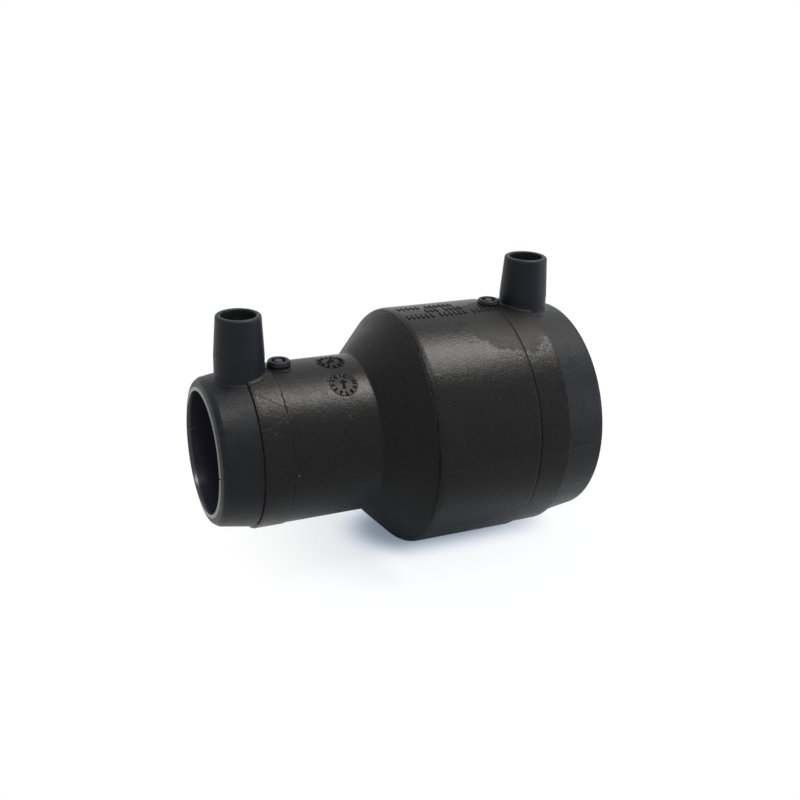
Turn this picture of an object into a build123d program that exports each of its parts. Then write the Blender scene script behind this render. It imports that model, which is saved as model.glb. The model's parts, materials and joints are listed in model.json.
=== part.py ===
from build123d import *
import os
from math import atan, cos, degrees, pi, tan
from typing import NamedTuple

# Electrofusion reducer: a moulded polyethylene fitting that welds a 50 mm pipe to a 32 mm pipe.
# It stands on its large end. The pipe axis is +Z, the origin is the centre of the large end face,
# and both terminal shrouds point along +X. All sizes are in millimetres.

# Pipes and sockets
LARGE_PIPE = 50.0
SMALL_PIPE = 32.0
LARGE_PIPE_WALL = 4.6
SMALL_PIPE_WALL = 3.0
SOCKET_PLAY = 0.3
LARGE_SOCKET_DEPTH = 46.0
SMALL_SOCKET_DEPTH = 40.0
THROAT_LAND_LENGTH = 6.4

# Outside of the moulding, measured from its two ends towards the cone
LARGE_WALL = 8.05
SMALL_WALL = 5.57
LARGE_BODY_LENGTH = 51.0
CONE_LENGTH = 11.3
SMALL_BODY_LENGTH = 42.6
SHOULDER_BEVEL = 1.9

# Tapered tip and low ring at the large end
LARGE_TIP_LENGTH = 11.8
LARGE_TIP_TAPER = 1.5
LARGE_TIP_STEP = 0.9
LARGE_RING_LENGTH = 9.6
LARGE_RING_STEP = 0.45

# Tapered tip and raised ring at the small end
SMALL_TIP_LENGTH = 10.5
SMALL_TIP_TAPER = 1.6
SMALL_TIP_STEP = 0.6
SMALL_RING_LENGTH = 7.6
SMALL_RING_STEP = 0.23
SMALL_TIP_BEVEL = 1.8

# Terminal shrouds, each a hollow post round one contact pin
LARGE_TERMINAL_INSET = 10.9
SMALL_TERMINAL_INSET = 10.4
LARGE_SHROUD_HEIGHT = 46.2
SMALL_SHROUD_HEIGHT = 37.1
SHROUD_TOP_DIAMETER = 11.86
SHROUD_FOOT_DIAMETER = 13.3
SHROUD_TAPER_LENGTH = 10.6
SHROUD_WALL = 1.35
SHROUD_RIM_BEVEL = 0.55
SHROUD_LIP_BEVEL = 0.35
WELL_DEPTH = 12.0

# Brass contact pins, moulded into the shroud floors
PIN_DIAMETER = 4.0
PIN_HEIGHT = 9.0
PIN_TIP_BEVEL = 0.5
PIN_ROOT_DIAMETER = 5.0
PIN_ROOT_COVER = 0.6
PIN_ROOT_STAND = 0.6
CRIMP_DEPTH = 2.0

# Heating wire, one winding in each socket and a link between them
WIRE_WIDTH = 0.8
WIRE_SKIN = 0.4
LARGE_TURNS = 3
SMALL_TURNS = 3
INNER_COLD_ZONE = 6.0
LEAD_RUN = 2.0
LEAD_BEND_RADIUS = 1.2
LINK_BEND_RADIUS = 5.0
LINK_COVER = 2.0

# Fusion indicators: a ring boss with a pin in it that rises when the melt pushes from below
LARGE_INDICATOR_INSET = 21.9
SMALL_INDICATOR_INSET = 21.1
LARGE_BOSS_HEIGHT = 1.4
SMALL_BOSS_HEIGHT = 1.9
BOSS_FOOT_DIAMETER = 6.5
BOSS_TOP_DIAMETER = 5.8
BOSS_RIM_BEVEL = 0.35
BOSS_ROOT_COVER = 0.6
RECESS_DIAMETER = 3.8
RECESS_DEPTH = 1.5
INDICATOR_DIAMETER = 2.4
INDICATOR_PLAY = 0.06
INDICATOR_TIP_BEVEL = 0.2
INDICATOR_SINK = 0.1
INDICATOR_COVER = 1.0
INDICATOR_SEAT_GAP = 0.05

# Worked out from the sizes above
LARGE_BORE = (LARGE_PIPE + SOCKET_PLAY) / 2
SMALL_BORE = (SMALL_PIPE + SOCKET_PLAY) / 2
LARGE_RADIUS = LARGE_BORE + LARGE_WALL
SMALL_RADIUS = SMALL_BORE + SMALL_WALL
LARGE_THROAT = LARGE_PIPE / 2 - LARGE_PIPE_WALL
SMALL_THROAT = SMALL_PIPE / 2 - SMALL_PIPE_WALL
LENGTH = LARGE_BODY_LENGTH + CONE_LENGTH + SMALL_BODY_LENGTH
SMALL_STOP_Z = LENGTH - SMALL_SOCKET_DEPTH


class Bevel(NamedTuple):
    """A corner of a turned outline cut off flat, by this much along each side."""
    size: float


class Terminal(NamedTuple):
    """Place of one contact pin and of the winding under it."""
    z: float
    top: float
    bore: float
    coil_from: float
    coil_to: float
    turns: int

    @property
    def floor(self):
        return self.top - WELL_DEPTH

    @property
    def coil_radius(self):
        return self.bore + WIRE_SKIN + WIRE_WIDTH / 2

    @property
    def root(self):
        return self.coil_radius + WIRE_WIDTH / 2 + PIN_ROOT_COVER


class Indicator(NamedTuple):
    """Place of one fusion indicator."""
    z: float
    surface: float
    boss_height: float
    bore: float

    @property
    def top(self):
        return self.surface + self.boss_height

    @property
    def hole_end(self):
        return self.bore + WIRE_SKIN + WIRE_WIDTH + INDICATOR_COVER


LARGE_TERMINAL = Terminal(
    z=LARGE_TERMINAL_INSET,
    top=LARGE_SHROUD_HEIGHT,
    bore=LARGE_BORE,
    coil_from=LARGE_TERMINAL_INSET,
    coil_to=LARGE_SOCKET_DEPTH - INNER_COLD_ZONE,
    turns=LARGE_TURNS,
)
SMALL_TERMINAL = Terminal(
    z=LENGTH - SMALL_TERMINAL_INSET,
    top=SMALL_SHROUD_HEIGHT,
    bore=SMALL_BORE,
    coil_from=SMALL_STOP_Z + INNER_COLD_ZONE,
    coil_to=LENGTH - SMALL_TERMINAL_INSET,
    turns=SMALL_TURNS,
)
LARGE_INDICATOR = Indicator(LARGE_INDICATOR_INSET, LARGE_RADIUS, LARGE_BOSS_HEIGHT, LARGE_BORE)
SMALL_INDICATOR = Indicator(LENGTH - SMALL_INDICATOR_INSET, SMALL_RADIUS, SMALL_BOSS_HEIGHT, SMALL_BORE)
TERMINALS = (LARGE_TERMINAL, SMALL_TERMINAL)
INDICATORS = (LARGE_INDICATOR, SMALL_INDICATOR)


def turned(corners):
    """A solid turned about Z from corners of (radius, height), each with an optional Bevel."""
    points = []
    for index, (radius, height, *finish) in enumerate(corners):
        corner = Vector(radius, height)
        if finish:
            for neighbour in (corners[index - 1], corners[(index + 1) % len(corners)]):
                along = (Vector(neighbour[0], neighbour[1]) - corner).normalized()
                points.append(corner + along * finish[0].size)
        else:
            points.append(corner)
    with BuildPart() as part:
        with BuildSketch(Plane.XZ):
            with BuildLine():
                Polyline(*points, close=True)
            make_face()
        revolve(axis=Axis.Z)
    return part.part.solid()


def upright(shape, z):
    """Turn a shape made about Z so that it stands out along +X at height z."""
    return Location((0, 0, z)) * (Rotation(0, 90, 0) * shape)


def outer_shell():
    """The outside of the moulding: two stepped barrels and the cone between them."""
    large_ring = LARGE_RADIUS - LARGE_RING_STEP
    large_tip = large_ring - LARGE_TIP_STEP
    small_ring = SMALL_RADIUS + SMALL_RING_STEP
    small_tip = small_ring - SMALL_TIP_STEP
    cone_z = LARGE_BODY_LENGTH + CONE_LENGTH
    small_step_z = LENGTH - SMALL_TIP_LENGTH
    large_ring_z = LARGE_TIP_LENGTH + LARGE_RING_LENGTH
    return turned([
        (0, 0),
        (large_tip - LARGE_TIP_TAPER, 0),
        (large_tip, LARGE_TIP_LENGTH),
        (large_ring, LARGE_TIP_LENGTH),
        (large_ring, large_ring_z),
        (LARGE_RADIUS, large_ring_z),
        (LARGE_RADIUS, LARGE_BODY_LENGTH, Bevel(SHOULDER_BEVEL)),
        (SMALL_RADIUS, cone_z),
        (SMALL_RADIUS, small_step_z - SMALL_RING_LENGTH),
        (small_ring, small_step_z - SMALL_RING_LENGTH),
        (small_ring, small_step_z),
        (small_tip, small_step_z),
        (small_tip - SMALL_TIP_TAPER, LENGTH, Bevel(SMALL_TIP_BEVEL)),
        (0, LENGTH),
    ])


def bore_core():
    """The space inside: both sockets with their pipe stops, and the throat that joins them."""
    return turned([
        (0, 0),
        (LARGE_BORE, 0),
        (LARGE_BORE, LARGE_SOCKET_DEPTH),
        (LARGE_THROAT, LARGE_SOCKET_DEPTH),
        (SMALL_THROAT, SMALL_STOP_Z - THROAT_LAND_LENGTH),
        (SMALL_THROAT, SMALL_STOP_Z),
        (SMALL_BORE, SMALL_STOP_Z),
        (SMALL_BORE, LENGTH),
        (0, LENGTH),
    ])


def shroud_post(terminal):
    """The post of one terminal: a straight foot rooted in the socket wall, then a taper to its bevelled rim."""
    foot = SHROUD_FOOT_DIAMETER / 2
    post = turned([
        (0, terminal.root),
        (foot, terminal.root),
        (foot, terminal.top - SHROUD_TAPER_LENGTH),
        (SHROUD_TOP_DIAMETER / 2, terminal.top, Bevel(SHROUD_RIM_BEVEL)),
        (0, terminal.top),
    ])
    return upright(post, terminal.z)


def shroud_well(terminal):
    """The round well in a shroud, with a bevelled lip."""
    mouth = SHROUD_TOP_DIAMETER / 2 - SHROUD_WALL
    well = turned([
        (0, terminal.floor),
        (mouth, terminal.floor),
        (mouth, terminal.top - SHROUD_LIP_BEVEL),
        (mouth + SHROUD_LIP_BEVEL, terminal.top),
        (0, terminal.top),
    ])
    return upright(well, terminal.z)


def indicator_boss(indicator):
    """The low ring boss of one fusion indicator."""
    root = indicator.surface - BOSS_ROOT_COVER
    boss = turned([
        (0, root),
        (BOSS_FOOT_DIAMETER / 2, root),
        (BOSS_TOP_DIAMETER / 2, indicator.top, Bevel(BOSS_RIM_BEVEL)),
        (0, indicator.top),
    ])
    return upright(boss, indicator.z)


def indicator_hole(indicator):
    """The recess in a boss and the blind guide hole of its pin."""
    guide = INDICATOR_DIAMETER / 2 + INDICATOR_PLAY
    hole = turned([
        (0, indicator.hole_end),
        (guide, indicator.hole_end),
        (guide, indicator.top - RECESS_DEPTH),
        (RECESS_DIAMETER / 2, indicator.top - RECESS_DEPTH),
        (RECESS_DIAMETER / 2, indicator.top),
        (0, indicator.top),
    ])
    return upright(hole, indicator.z)


def indicator_pin(indicator):
    """The polyethylene pin that rises out of its boss when the joint has melted."""
    radius = INDICATOR_DIAMETER / 2
    pin = turned([
        (0, indicator.hole_end + INDICATOR_SEAT_GAP),
        (radius, indicator.hole_end + INDICATOR_SEAT_GAP),
        (radius, indicator.top - INDICATOR_SINK, Bevel(INDICATOR_TIP_BEVEL)),
        (0, indicator.top - INDICATOR_SINK),
    ])
    return upright(pin, indicator.z)


def contact_pin(terminal):
    """A turned brass pin: a thick root in the plastic, which stands proud of the well's floor, and the contact."""
    root_top = terminal.floor + PIN_ROOT_STAND
    pin = turned([
        (0, terminal.root),
        (PIN_ROOT_DIAMETER / 2, terminal.root),
        (PIN_ROOT_DIAMETER / 2, root_top),
        (PIN_DIAMETER / 2, root_top),
        (PIN_DIAMETER / 2, terminal.floor + PIN_HEIGHT, Bevel(PIN_TIP_BEVEL)),
        (0, terminal.floor + PIN_HEIGHT),
    ])
    return upright(pin, terminal.z)


def winding(terminal):
    """The centre line of the turns round one socket, and the radius of the corners at their ends.

    The turns start and end a lead run to either side of the pin, and their tangents meet at a corner
    in line with it, so that the leads and the link can go on from there without a kink.
    """
    radius = terminal.coil_radius
    early = atan(LEAD_RUN / radius)
    pitch = (terminal.coil_to - terminal.coil_from) / (terminal.turns + (tan(early) - early) / pi)
    rise = pitch * tan(early) / (2 * pi)
    turns = Helix(
        pitch=pitch,
        height=pitch * (terminal.turns - early / pi),
        radius=radius,
        center=(0, 0, terminal.coil_from + rise),
    )
    return Rotation(0, 0, degrees(early)) * turns, radius / cos(early)


def heating_wire():
    """One length of resistance wire: lead, winding, link, winding and lead."""
    large_turns, large_corner = winding(LARGE_TERMINAL)
    small_turns, small_corner = winding(SMALL_TERMINAL)
    large_lead = FilletPolyline(
        (LARGE_TERMINAL.root + CRIMP_DEPTH, 0, LARGE_TERMINAL.z),
        (large_corner, 0, LARGE_TERMINAL.z),
        large_turns @ 0,
        radius=[LEAD_BEND_RADIUS],
    )
    link = FilletPolyline(
        large_turns @ 1,
        (large_corner, 0, LARGE_TERMINAL.coil_to),
        (large_corner, 0, LARGE_SOCKET_DEPTH + LINK_COVER),
        (small_corner, 0, SMALL_STOP_Z + LINK_COVER),
        (small_corner, 0, SMALL_TERMINAL.coil_from),
        small_turns @ 0,
        radius=[LEAD_BEND_RADIUS, LINK_BEND_RADIUS, LINK_BEND_RADIUS, LEAD_BEND_RADIUS],
    )
    small_lead = FilletPolyline(
        small_turns @ 1,
        (small_corner, 0, SMALL_TERMINAL.z),
        (SMALL_TERMINAL.root + CRIMP_DEPTH, 0, SMALL_TERMINAL.z),
        radius=[LEAD_BEND_RADIUS],
    )
    path = Wire([*large_lead.edges(), large_turns, *link.edges(), small_turns, *small_lead.edges()])
    section = Plane(origin=path @ 0, z_dir=path % 0, x_dir=(0, 0, 1)) * Rectangle(WIRE_WIDTH, WIRE_WIDTH)
    return sweep(section, path=path)


def fitting_body(pins):
    """The single moulding, formed round the contact pins. The wire is sealed inside its wall."""
    body = outer_shell()
    for terminal in TERMINALS:
        body = body + shroud_post(terminal)
    for indicator in INDICATORS:
        body = body + indicator_boss(indicator)
    body = body - bore_core()
    for terminal in TERMINALS:
        body = body - shroud_well(terminal)
    for indicator in INDICATORS:
        body = body - indicator_hole(indicator)
    for pin in pins:
        body = body - pin
    return body


def main():
    os.makedirs("parts", exist_ok=True)
    wire = heating_wire()
    large_pin = contact_pin(LARGE_TERMINAL)
    small_pin = contact_pin(SMALL_TERMINAL)
    nodes = {
        "fitting_body": fitting_body((large_pin, small_pin)),
        "heating_wire": wire,
        "large_terminal_pin": large_pin - wire,
        "small_terminal_pin": small_pin - wire,
        "large_indicator_pin": indicator_pin(LARGE_INDICATOR),
        "small_indicator_pin": indicator_pin(SMALL_INDICATOR),
    }
    for name, shape in nodes.items():
        export_step(shape, f"parts/{name}.step")


main()
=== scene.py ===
"""Dresses a moulded electrofusion reducer: its barrels, shrouds, indicators, dials and contacts."""

import json
from collections import namedtuple
from functools import reduce
from math import ceil, cos, hypot, pi, radians, sin, sqrt, tan

import bpy
from bpy.props import FloatProperty, FloatVectorProperty, IntProperty, PointerProperty
from mathutils import Matrix, Vector, noise


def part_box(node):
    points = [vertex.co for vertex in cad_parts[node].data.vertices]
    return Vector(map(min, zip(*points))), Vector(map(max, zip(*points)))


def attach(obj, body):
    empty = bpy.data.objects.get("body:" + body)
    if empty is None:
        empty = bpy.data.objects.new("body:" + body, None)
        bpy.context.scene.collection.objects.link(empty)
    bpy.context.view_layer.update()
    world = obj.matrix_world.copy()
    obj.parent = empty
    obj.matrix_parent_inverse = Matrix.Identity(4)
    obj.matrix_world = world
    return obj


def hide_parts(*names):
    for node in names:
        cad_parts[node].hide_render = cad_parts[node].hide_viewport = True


bl_info = {
    "name": "Electrofusion Reducer",
    "version": (1, 0, 0),
    "blender": (4, 5, 0),
    "location": "3D View > Sidebar > Reducer",
    "description": "Dresses a moulded pipe reducer and sets it on a pale table",
    "category": "Object",
}

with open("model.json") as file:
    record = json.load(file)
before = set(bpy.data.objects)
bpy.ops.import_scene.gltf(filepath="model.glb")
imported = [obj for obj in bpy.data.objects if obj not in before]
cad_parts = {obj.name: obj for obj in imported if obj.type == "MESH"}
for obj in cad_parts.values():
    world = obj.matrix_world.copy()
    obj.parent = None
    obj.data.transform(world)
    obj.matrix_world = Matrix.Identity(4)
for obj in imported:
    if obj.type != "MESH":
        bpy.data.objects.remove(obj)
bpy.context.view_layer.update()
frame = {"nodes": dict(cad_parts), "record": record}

MM = 0.001
MOUNTS = {mount["name"]: mount for mount in frame["record"]["mounts"]}
BODY_LOW, BODY_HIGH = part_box("fitting_body")
FITTING = "fitting"

# The moulding's length, its bores, and the heights of the pipe stops
LENGTH = BODY_HIGH.z
LARGE_BORE = MOUNTS["large_socket"]["dims"]["r_mm"] * MM
SMALL_BORE = MOUNTS["small_socket"]["dims"]["r_mm"] * MM
LARGE_STOP = MOUNTS["large_socket"]["dims"]["length_mm"] * MM
SMALL_STOP = LENGTH - MOUNTS["small_socket"]["dims"]["length_mm"] * MM

# Finishes of the moulding's zones, in the order of its material slots
ZONE_FINISHES = ("barrel", "cone", "tip", "bore", "shroud", "face")
BARREL, CONE, TIP, BORE, SHROUD, FACE = range(len(ZONE_FINISHES))

# Share of an edge that the round at one of its ends may take
ROUND_SHARE = 0.49

# Steps of a round: a base, more for each row that its radius spans, and the most
BASE_ARC_STEPS = 3
STEPS_PER_ROW = 4
MOST_ARC_STEPS = 10

# A point nearer to a post's own axis than this lies on it
ON_AXIS = 1e-7

# A point nearer to the turned outside than this lies on it
ON_OUTSIDE = 0.03 * MM

# Parting plane of the mould: it cuts the barrels at both sides, level with the pipe axis
SEAM_ANGLES = (radians(90), radians(-90))

# Extra columns of the mesh at the parting plane, in half widths of the flash line
SEAM_COLUMNS = (-2.4, -1.5, -1.0, -0.5, 0.0, 0.5, 1.0, 1.5, 2.4)

# Soft waves in the moulded walls: the most that they rise, and the scale of their noise
WAVE_HEIGHT = 0.035 * MM
WAVES_PER_METRE = 90.0

# The hollow where a post meets the barrel: steps of its arc, and how far its edge lies under the surface
SKIRT_STEPS = 6
SKIRT_SINK = 0.02 * MM

# How far above the barrel a shroud's outline starts
SHROUD_START = 1.2 * MM

# How far the mesh of a boss reaches into the barrel
BOSS_ROOT = 0.8 * MM

# Lower side of what is pressed up from a barrel, just under its surface
SUNK = -0.05 * MM

# The dials: name, angle round the barrel from +X, and turn of the pointer in radians
DIALS = (("upper_dial", radians(2.2), 0.9), ("lower_dial", radians(29.4), 0.1))
DIAL_NUMBERS = 12

# The size of the dials' font and what is added to its strokes, as shares of the numbers' height
FONT_SHARE = 1.4
STROKE_SHARE = 0.02

# Rows of plain bars on the large barrel: bars left free at the start, and bars in each group
BAR_ROWS = ((0, (5, 6)), (5, (3, 4)), (0, (6, 6, 6)))
TOP_BAR_ROW = radians(-5.0)

# The gate's stub and the fine scratch: angle from +X and height of each, and how far it stands out
GATE_PLACE = (radians(89.7), 85.7 * MM)
GATE_RELIEF = 0.3 * MM
SCRATCH_PLACE = (radians(34.8), 90.8 * MM)
SCRATCH_RELIEF = 0.03 * MM

# Places along the scratch, from its middle
SCRATCH_STEPS = tuple(step * 0.45 * MM for step in range(-8, 9))

# Flow fronts on the barrels: the middle, as angle from +X, distance from the axis and height, and then
# the reach of the patch, the size of its waves and its strength
FLOW_FRONTS = (
    ((radians(17), 33.2 * MM, 22 * MM), (12.5 * MM, 2.6 * MM, 0.9)),
    ((radians(6), 21.7 * MM, 80 * MM), (10.0 * MM, 2.4 * MM, 0.35)),
)

# A black finish: its material's name, its colour setting, how fine and how deep its grain is, its
# roughness and its reflection, how much the grain is rubbed pale, and its flow marks and scuffs
Moulded = namedtuple(
    "Moulded", "name colour grain depth rough level rub marks scuffs", defaults=(0.0, 0.0, 0.2)
)
MOULDED = {
    "barrel": Moulded("barrel_grain", "black", 1900.0, 1.1, 0.24, 0.16, rub=0.9, marks=0.7, scuffs=0.6),
    "cone": Moulded("cone_satin", "black", 1400.0, 1.2, 0.36, 0.14, rub=0.6, marks=1.4, scuffs=0.6),
    "dial": Moulded("dial_bed", "black", 2300.0, 0.4, 0.34, 0.13, rub=0.3, scuffs=0.6),
    # Raised numbers: a darker black, partly painted shade for the shadow at their edges
    "digits": Moulded("dial_digits", "ink", 2300.0, 0.2, 0.5, 0.03),
    "gate": Moulded("cut_gate", "cut", 2300.0, 0.3, 0.4, 0.3),
    "tip": Moulded("tip_satin", "smooth", 1800.0, 1.0, 0.37, 0.18, rub=0.3, marks=1.0, scuffs=0.6),
    "face": Moulded("mouth_face", "smooth", 1900.0, 0.3, 0.2, 0.9, rub=0.15, marks=0.2),
    # The bore's lighter black is a painted sheen inside the glossy socket
    "bore": Moulded("bore_gloss", "bore", 900.0, 0.05, 0.17, 0.5),
    # The shrouds' lighter black is painted light for their sheen
    "shroud": Moulded("shroud_satin", "shroud", 3000.0, 0.25, 0.34, 0.14, rub=0.08, marks=0.2),
    "indicator": Moulded("indicator_black", "black", 3000.0, 0.2, 0.26, 0.2, rub=0.1),
}

# Bump of a grain whose depth is 1
GRAIN_DEPTH = 0.085 * MM

# Pale dust in the scuffs
DUST = (0.12, 0.12, 0.12, 1.0)

# Depth of the flow streaks beside the grain, and share of the grain that is left in a flow front
STREAK_DEPTH = 0.25
FRONT_GRAIN = 0.5

# What the grain, a flow front and a split line add to the roughness, and what blotches take from it
GRAIN_ROUGHNESS = 0.14
FRONT_ROUGHNESS = 0.2
SPLIT_ROUGHNESS = 0.5
BLOTCH_SHEEN = 0.09

# Brightness of blotches and of dark lines next to the plain black, and how far each is mixed in
BLOTCH_BRIGHTNESS = 0.5
BLOTCH_MIX = 0.7
LINE_BRIGHTNESS = 0.35
LINE_MIX = 0.8

# Materials by name, once they are built
FINISHES = {}

# Colours of the table's glow: a pale blue painted shade under the large barrel, and plain white out in the
# open
SHADE_TINT = (0.66, 0.78, 1.0, 1.0)
OPEN_TINT = (0.985, 0.99, 1.0, 1.0)

# How steeply the shade under the large barrel ends, beside the barrel and past its ends
SHADE_STEEPNESS = (0.0, 0.95, 1.1)

# From the contact line outwards: where the shade starts to give way to plain white and where it has
# done so, and the same for the white that glossy surfaces mirror
SHADE_REACH = (3 * MM, 22 * MM)
MIRROR_REACH = (22 * MM, 90 * MM)

# Share of the plain white look in the deepest shade
SHADE_GLOW = 0.26

# Heights between which the table turns darker beside the small barrel, a painted shade that cuts back its
# white glow so that more of its own shadow shows, and the share of its look there
SMALL_SHADE = (54 * MM, 64 * MM)
SMALL_SHADE_GLOW = 0.78

# Where the photograph was taken from
CAMERA_PLACE = Vector((122.6, -256.3, 167.9)) * MM
CAMERA_FORWARD = Vector((-0.3772, 0.8391, -0.3920))
CAMERA_UP = Vector((0.9254, 0.3581, -0.1240))


def size(label, value, about, low=0.0):
    """A length in metres that the panel shows in the scene's own unit."""
    return FloatProperty(name=label, description=about, default=value, min=low, unit="LENGTH", precision=5)


def colour(label, value, about):
    """A linear colour that the panel shows as a swatch."""
    return FloatVectorProperty(
        name=label, description=about, default=value, min=0.0, max=1.0, size=3, subtype="COLOR"
    )


def share(label, value, about):
    """A number from nothing to all."""
    return FloatProperty(name=label, description=about, default=value, min=0.0, max=1.0, subtype="FACTOR")


def power(label, value, about):
    """The power of a lamp in watts."""
    return FloatProperty(name=label, description=about, default=value, min=0.0, unit="POWER")


class BarrelSettings(bpy.types.PropertyGroup):
    """Outline of the moulding, from the large end up."""

    large_radius: size("Large barrel", -BODY_LOW.x, "Outside radius of the large barrel")
    small_radius: size("Small barrel", 21.72 * MM, "Outside radius of the small barrel")
    large_ring_radius: size("Large ring", 32.75 * MM, "Radius of the low ring behind the large tip")
    large_tip_root: size("Large tip root", 31.85 * MM, "Radius of the large tip where it meets its ring")
    large_tip_end: size("Large tip end", 30.35 * MM, "Radius of the large tip at the end face")
    small_ring_radius: size("Small ring", 21.95 * MM, "Radius of the raised ring behind the small tip")
    small_tip_root: size("Small tip root", 21.35 * MM, "Radius of the small tip where it meets its ring")
    small_tip_end: size("Small tip end", 19.75 * MM, "Radius of the small tip at its mouth")
    large_tip_height: size("Large tip height", 11.8 * MM, "Height of the step between large tip and ring")
    large_ring_height: size("Large ring height", 21.4 * MM, "Height where ring ends and barrel starts")
    shoulder_height: size("Shoulder height", 51.0 * MM, "Height of the corner between barrel and cone")
    neck_height: size("Neck height", 62.3 * MM, "Height where the cone meets the small barrel")
    small_ring_height: size("Small ring height", 86.8 * MM, "Height where the raised ring starts")
    small_tip_height: size("Small tip height", 94.4 * MM, "Height of the step between ring and small tip")
    shoulder_round: size("Shoulder round", 4.2 * MM, "Radius of the round between barrel and cone")
    neck_round: size("Neck round", 0.8 * MM, "Radius of the hollow between cone and small barrel")
    rim_round: size("Rim round", 1.2 * MM, "Radius of the outer edges of the small mouth")
    rim_drop: size("Rim drop", 1.7 * MM, "Distance from the small end back to where the mouth's edge begins")
    rim_slope: size("Rim slope", 2.9 * MM, "Width of the gently sloped face round the small mouth")
    rim_fall: size("Rim fall", 0.45 * MM, "How far that face falls back to its outer edge")
    lip_width: size("Lip width", 1.0 * MM, "Width of the smooth ring next to the small bore")
    entry_flare: size("Entry flare", 0.35 * MM, "How much wider the small bore is at its very mouth")
    entry_depth: size("Entry depth", 3.4 * MM, "Depth over which the small bore narrows to its full fit")
    lip_rise: size("Lip rise", 0.12 * MM, "How far the crest of the small mouth stands out from the end face")
    lip_round: size("Lip round", 0.4 * MM, "Radius of the inner edges of the throat and of the large mouth")
    edge_round: size("Edge round", 0.13 * MM, "Radius of the small steps between the rings")
    throat_land: size("Throat land", 6.4 * MM, "Straight stretch of the throat below the small pipe stop")
    large_throat: size("Large throat", 20.4 * MM, "Radius of the throat at the large pipe stop")
    small_throat: size("Small throat", 13.0 * MM, "Radius of the throat at the small pipe stop")
    witness_depth: size("Witness depth", 0.07 * MM, "Depth of the thin grooves where mould inserts meet")
    witness_width: size("Witness width", 0.22 * MM, "Width of the thin grooves where mould inserts meet")
    ring_groove: size("Ring groove", 0.6 * MM, "Width of the groove behind the large ring")
    ring_groove_depth: size("Ring groove depth", 0.2 * MM, "Depth of the groove behind the large ring")
    seam_height: size("Seam height", 0.085 * MM, "Height of the flash line along the parting plane")
    seam_width: size("Seam width", 0.14 * MM, "Half width of the flash line")
    seam_mismatch: size("Seam mismatch", 0.05 * MM, "Step between the two mould halves at the parting plane")
    seam_fade: size("Seam fade", 5.0 * MM, "Distance over which that step fades out")
    notch_depth: size("Notch depth", 0.3 * MM, "Depth of the nicks where the flash was cut at the mouth")
    notch_width: size("Notch width", 0.26 * MM, "Half width of those nicks")
    notch_reach: size("Notch reach", 2.2 * MM, "Length of those nicks from the bore outwards")
    row_step: size("Row step", 1.1 * MM, "Longest edge of the mesh along the outline")
    columns: IntProperty(name="Columns", description="Mesh columns round the axis", default=228, min=64)


class ShroudSettings(bpy.types.PropertyGroup):
    """The two hollow posts round the contact pins."""

    large_top: size("Large shroud top", BODY_HIGH.x, "Distance of the large shroud's rim from the pipe axis")
    small_top: size("Small shroud top", 37.1 * MM, "Distance of the small shroud's rim from the pipe axis")
    top_radius: size("Top radius", 5.93 * MM, "Outside radius at the rim")
    foot_radius: size("Foot radius", 6.62 * MM, "Outside radius at the foot")
    taper: size("Taper length", 10.6 * MM, "Length of the tapered part below the rim")
    wall: size("Wall", 1.35 * MM, "Wall thickness at the rim")
    well: size("Well depth", 12.0 * MM, "Depth of the well from rim to floor")
    rim_round: size("Rim round", 0.62 * MM, "Radius of the outer edge of the rim")
    lip_round: size("Lip round", 0.4 * MM, "Radius of the inner edge of the rim")
    skirt: size("Skirt", 0.55 * MM, "Radius of the hollow where the post meets the barrel")
    root: size("Root depth", 1.2 * MM, "How far the post's mesh reaches into the barrel")


class IndicatorSettings(bpy.types.PropertyGroup):
    """The two button-shaped bosses of the fusion indicators."""

    large_top: size("Large boss top", 34.6 * MM, "Distance of the large boss's top from the pipe axis")
    small_top: size("Small boss top", 23.62 * MM, "Distance of the small boss's top from the pipe axis")
    foot_radius: size("Foot radius", 3.1 * MM, "Radius where the boss meets the barrel")
    waist_radius: size("Widest radius", 3.24 * MM, "Largest radius, a little above the foot")
    top_radius: size("Top radius", 2.86 * MM, "Radius at the top")
    rim_round: size("Rim round", 0.4 * MM, "Radius of the upper edge")
    recess_radius: size("Recess radius", 1.9 * MM, "Radius of the recess round the pin")
    recess_depth: size("Recess depth", 1.5 * MM, "Depth of the recess")
    play: size("Play", 0.06 * MM, "Gap between the pin and its guide hole")
    skirt: size("Skirt", 0.25 * MM, "Radius of the hollow at the foot")


class DialSettings(bpy.types.PropertyGroup):
    """Round date dials pressed up from the small barrel, with plain numbers."""

    radius: size("Dial radius", 3.7 * MM, "Radius of the whole dial")
    digit: size("Digit height", 1.15 * MM, "Height of the numbers")
    relief: size("Relief", 0.24 * MM, "How far the numbers and the pointer stand out")
    bed: size("Bed relief", 0.09 * MM, "How far the bed of the dial stands out")
    height_from_end: size("Height", 69.6 * MM, "Height of both dials above the large end face")


class MarkSettings(bpy.types.PropertyGroup):
    """Plain bars and small traces of moulding on the barrels."""

    bar_height: size("Bar height", 2.1 * MM, "Height of the plain bars on the large barrel")
    bar_width: size("Bar width", 0.62 * MM, "Width of one bar")
    bar_pitch: size("Bar pitch", 1.42 * MM, "Distance from bar to bar")
    row_pitch: size("Row pitch", 3.4 * MM, "Distance from row to row, round the barrel")
    relief: size("Relief", 0.22 * MM, "How far the bars stand out")
    gate_radius: size("Gate radius", 0.3 * MM, "Radius of the gate's stub on the parting line")
    scratch_width: size("Scratch width", 0.12 * MM, "Width of the fine scratch by the small shroud")


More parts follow.
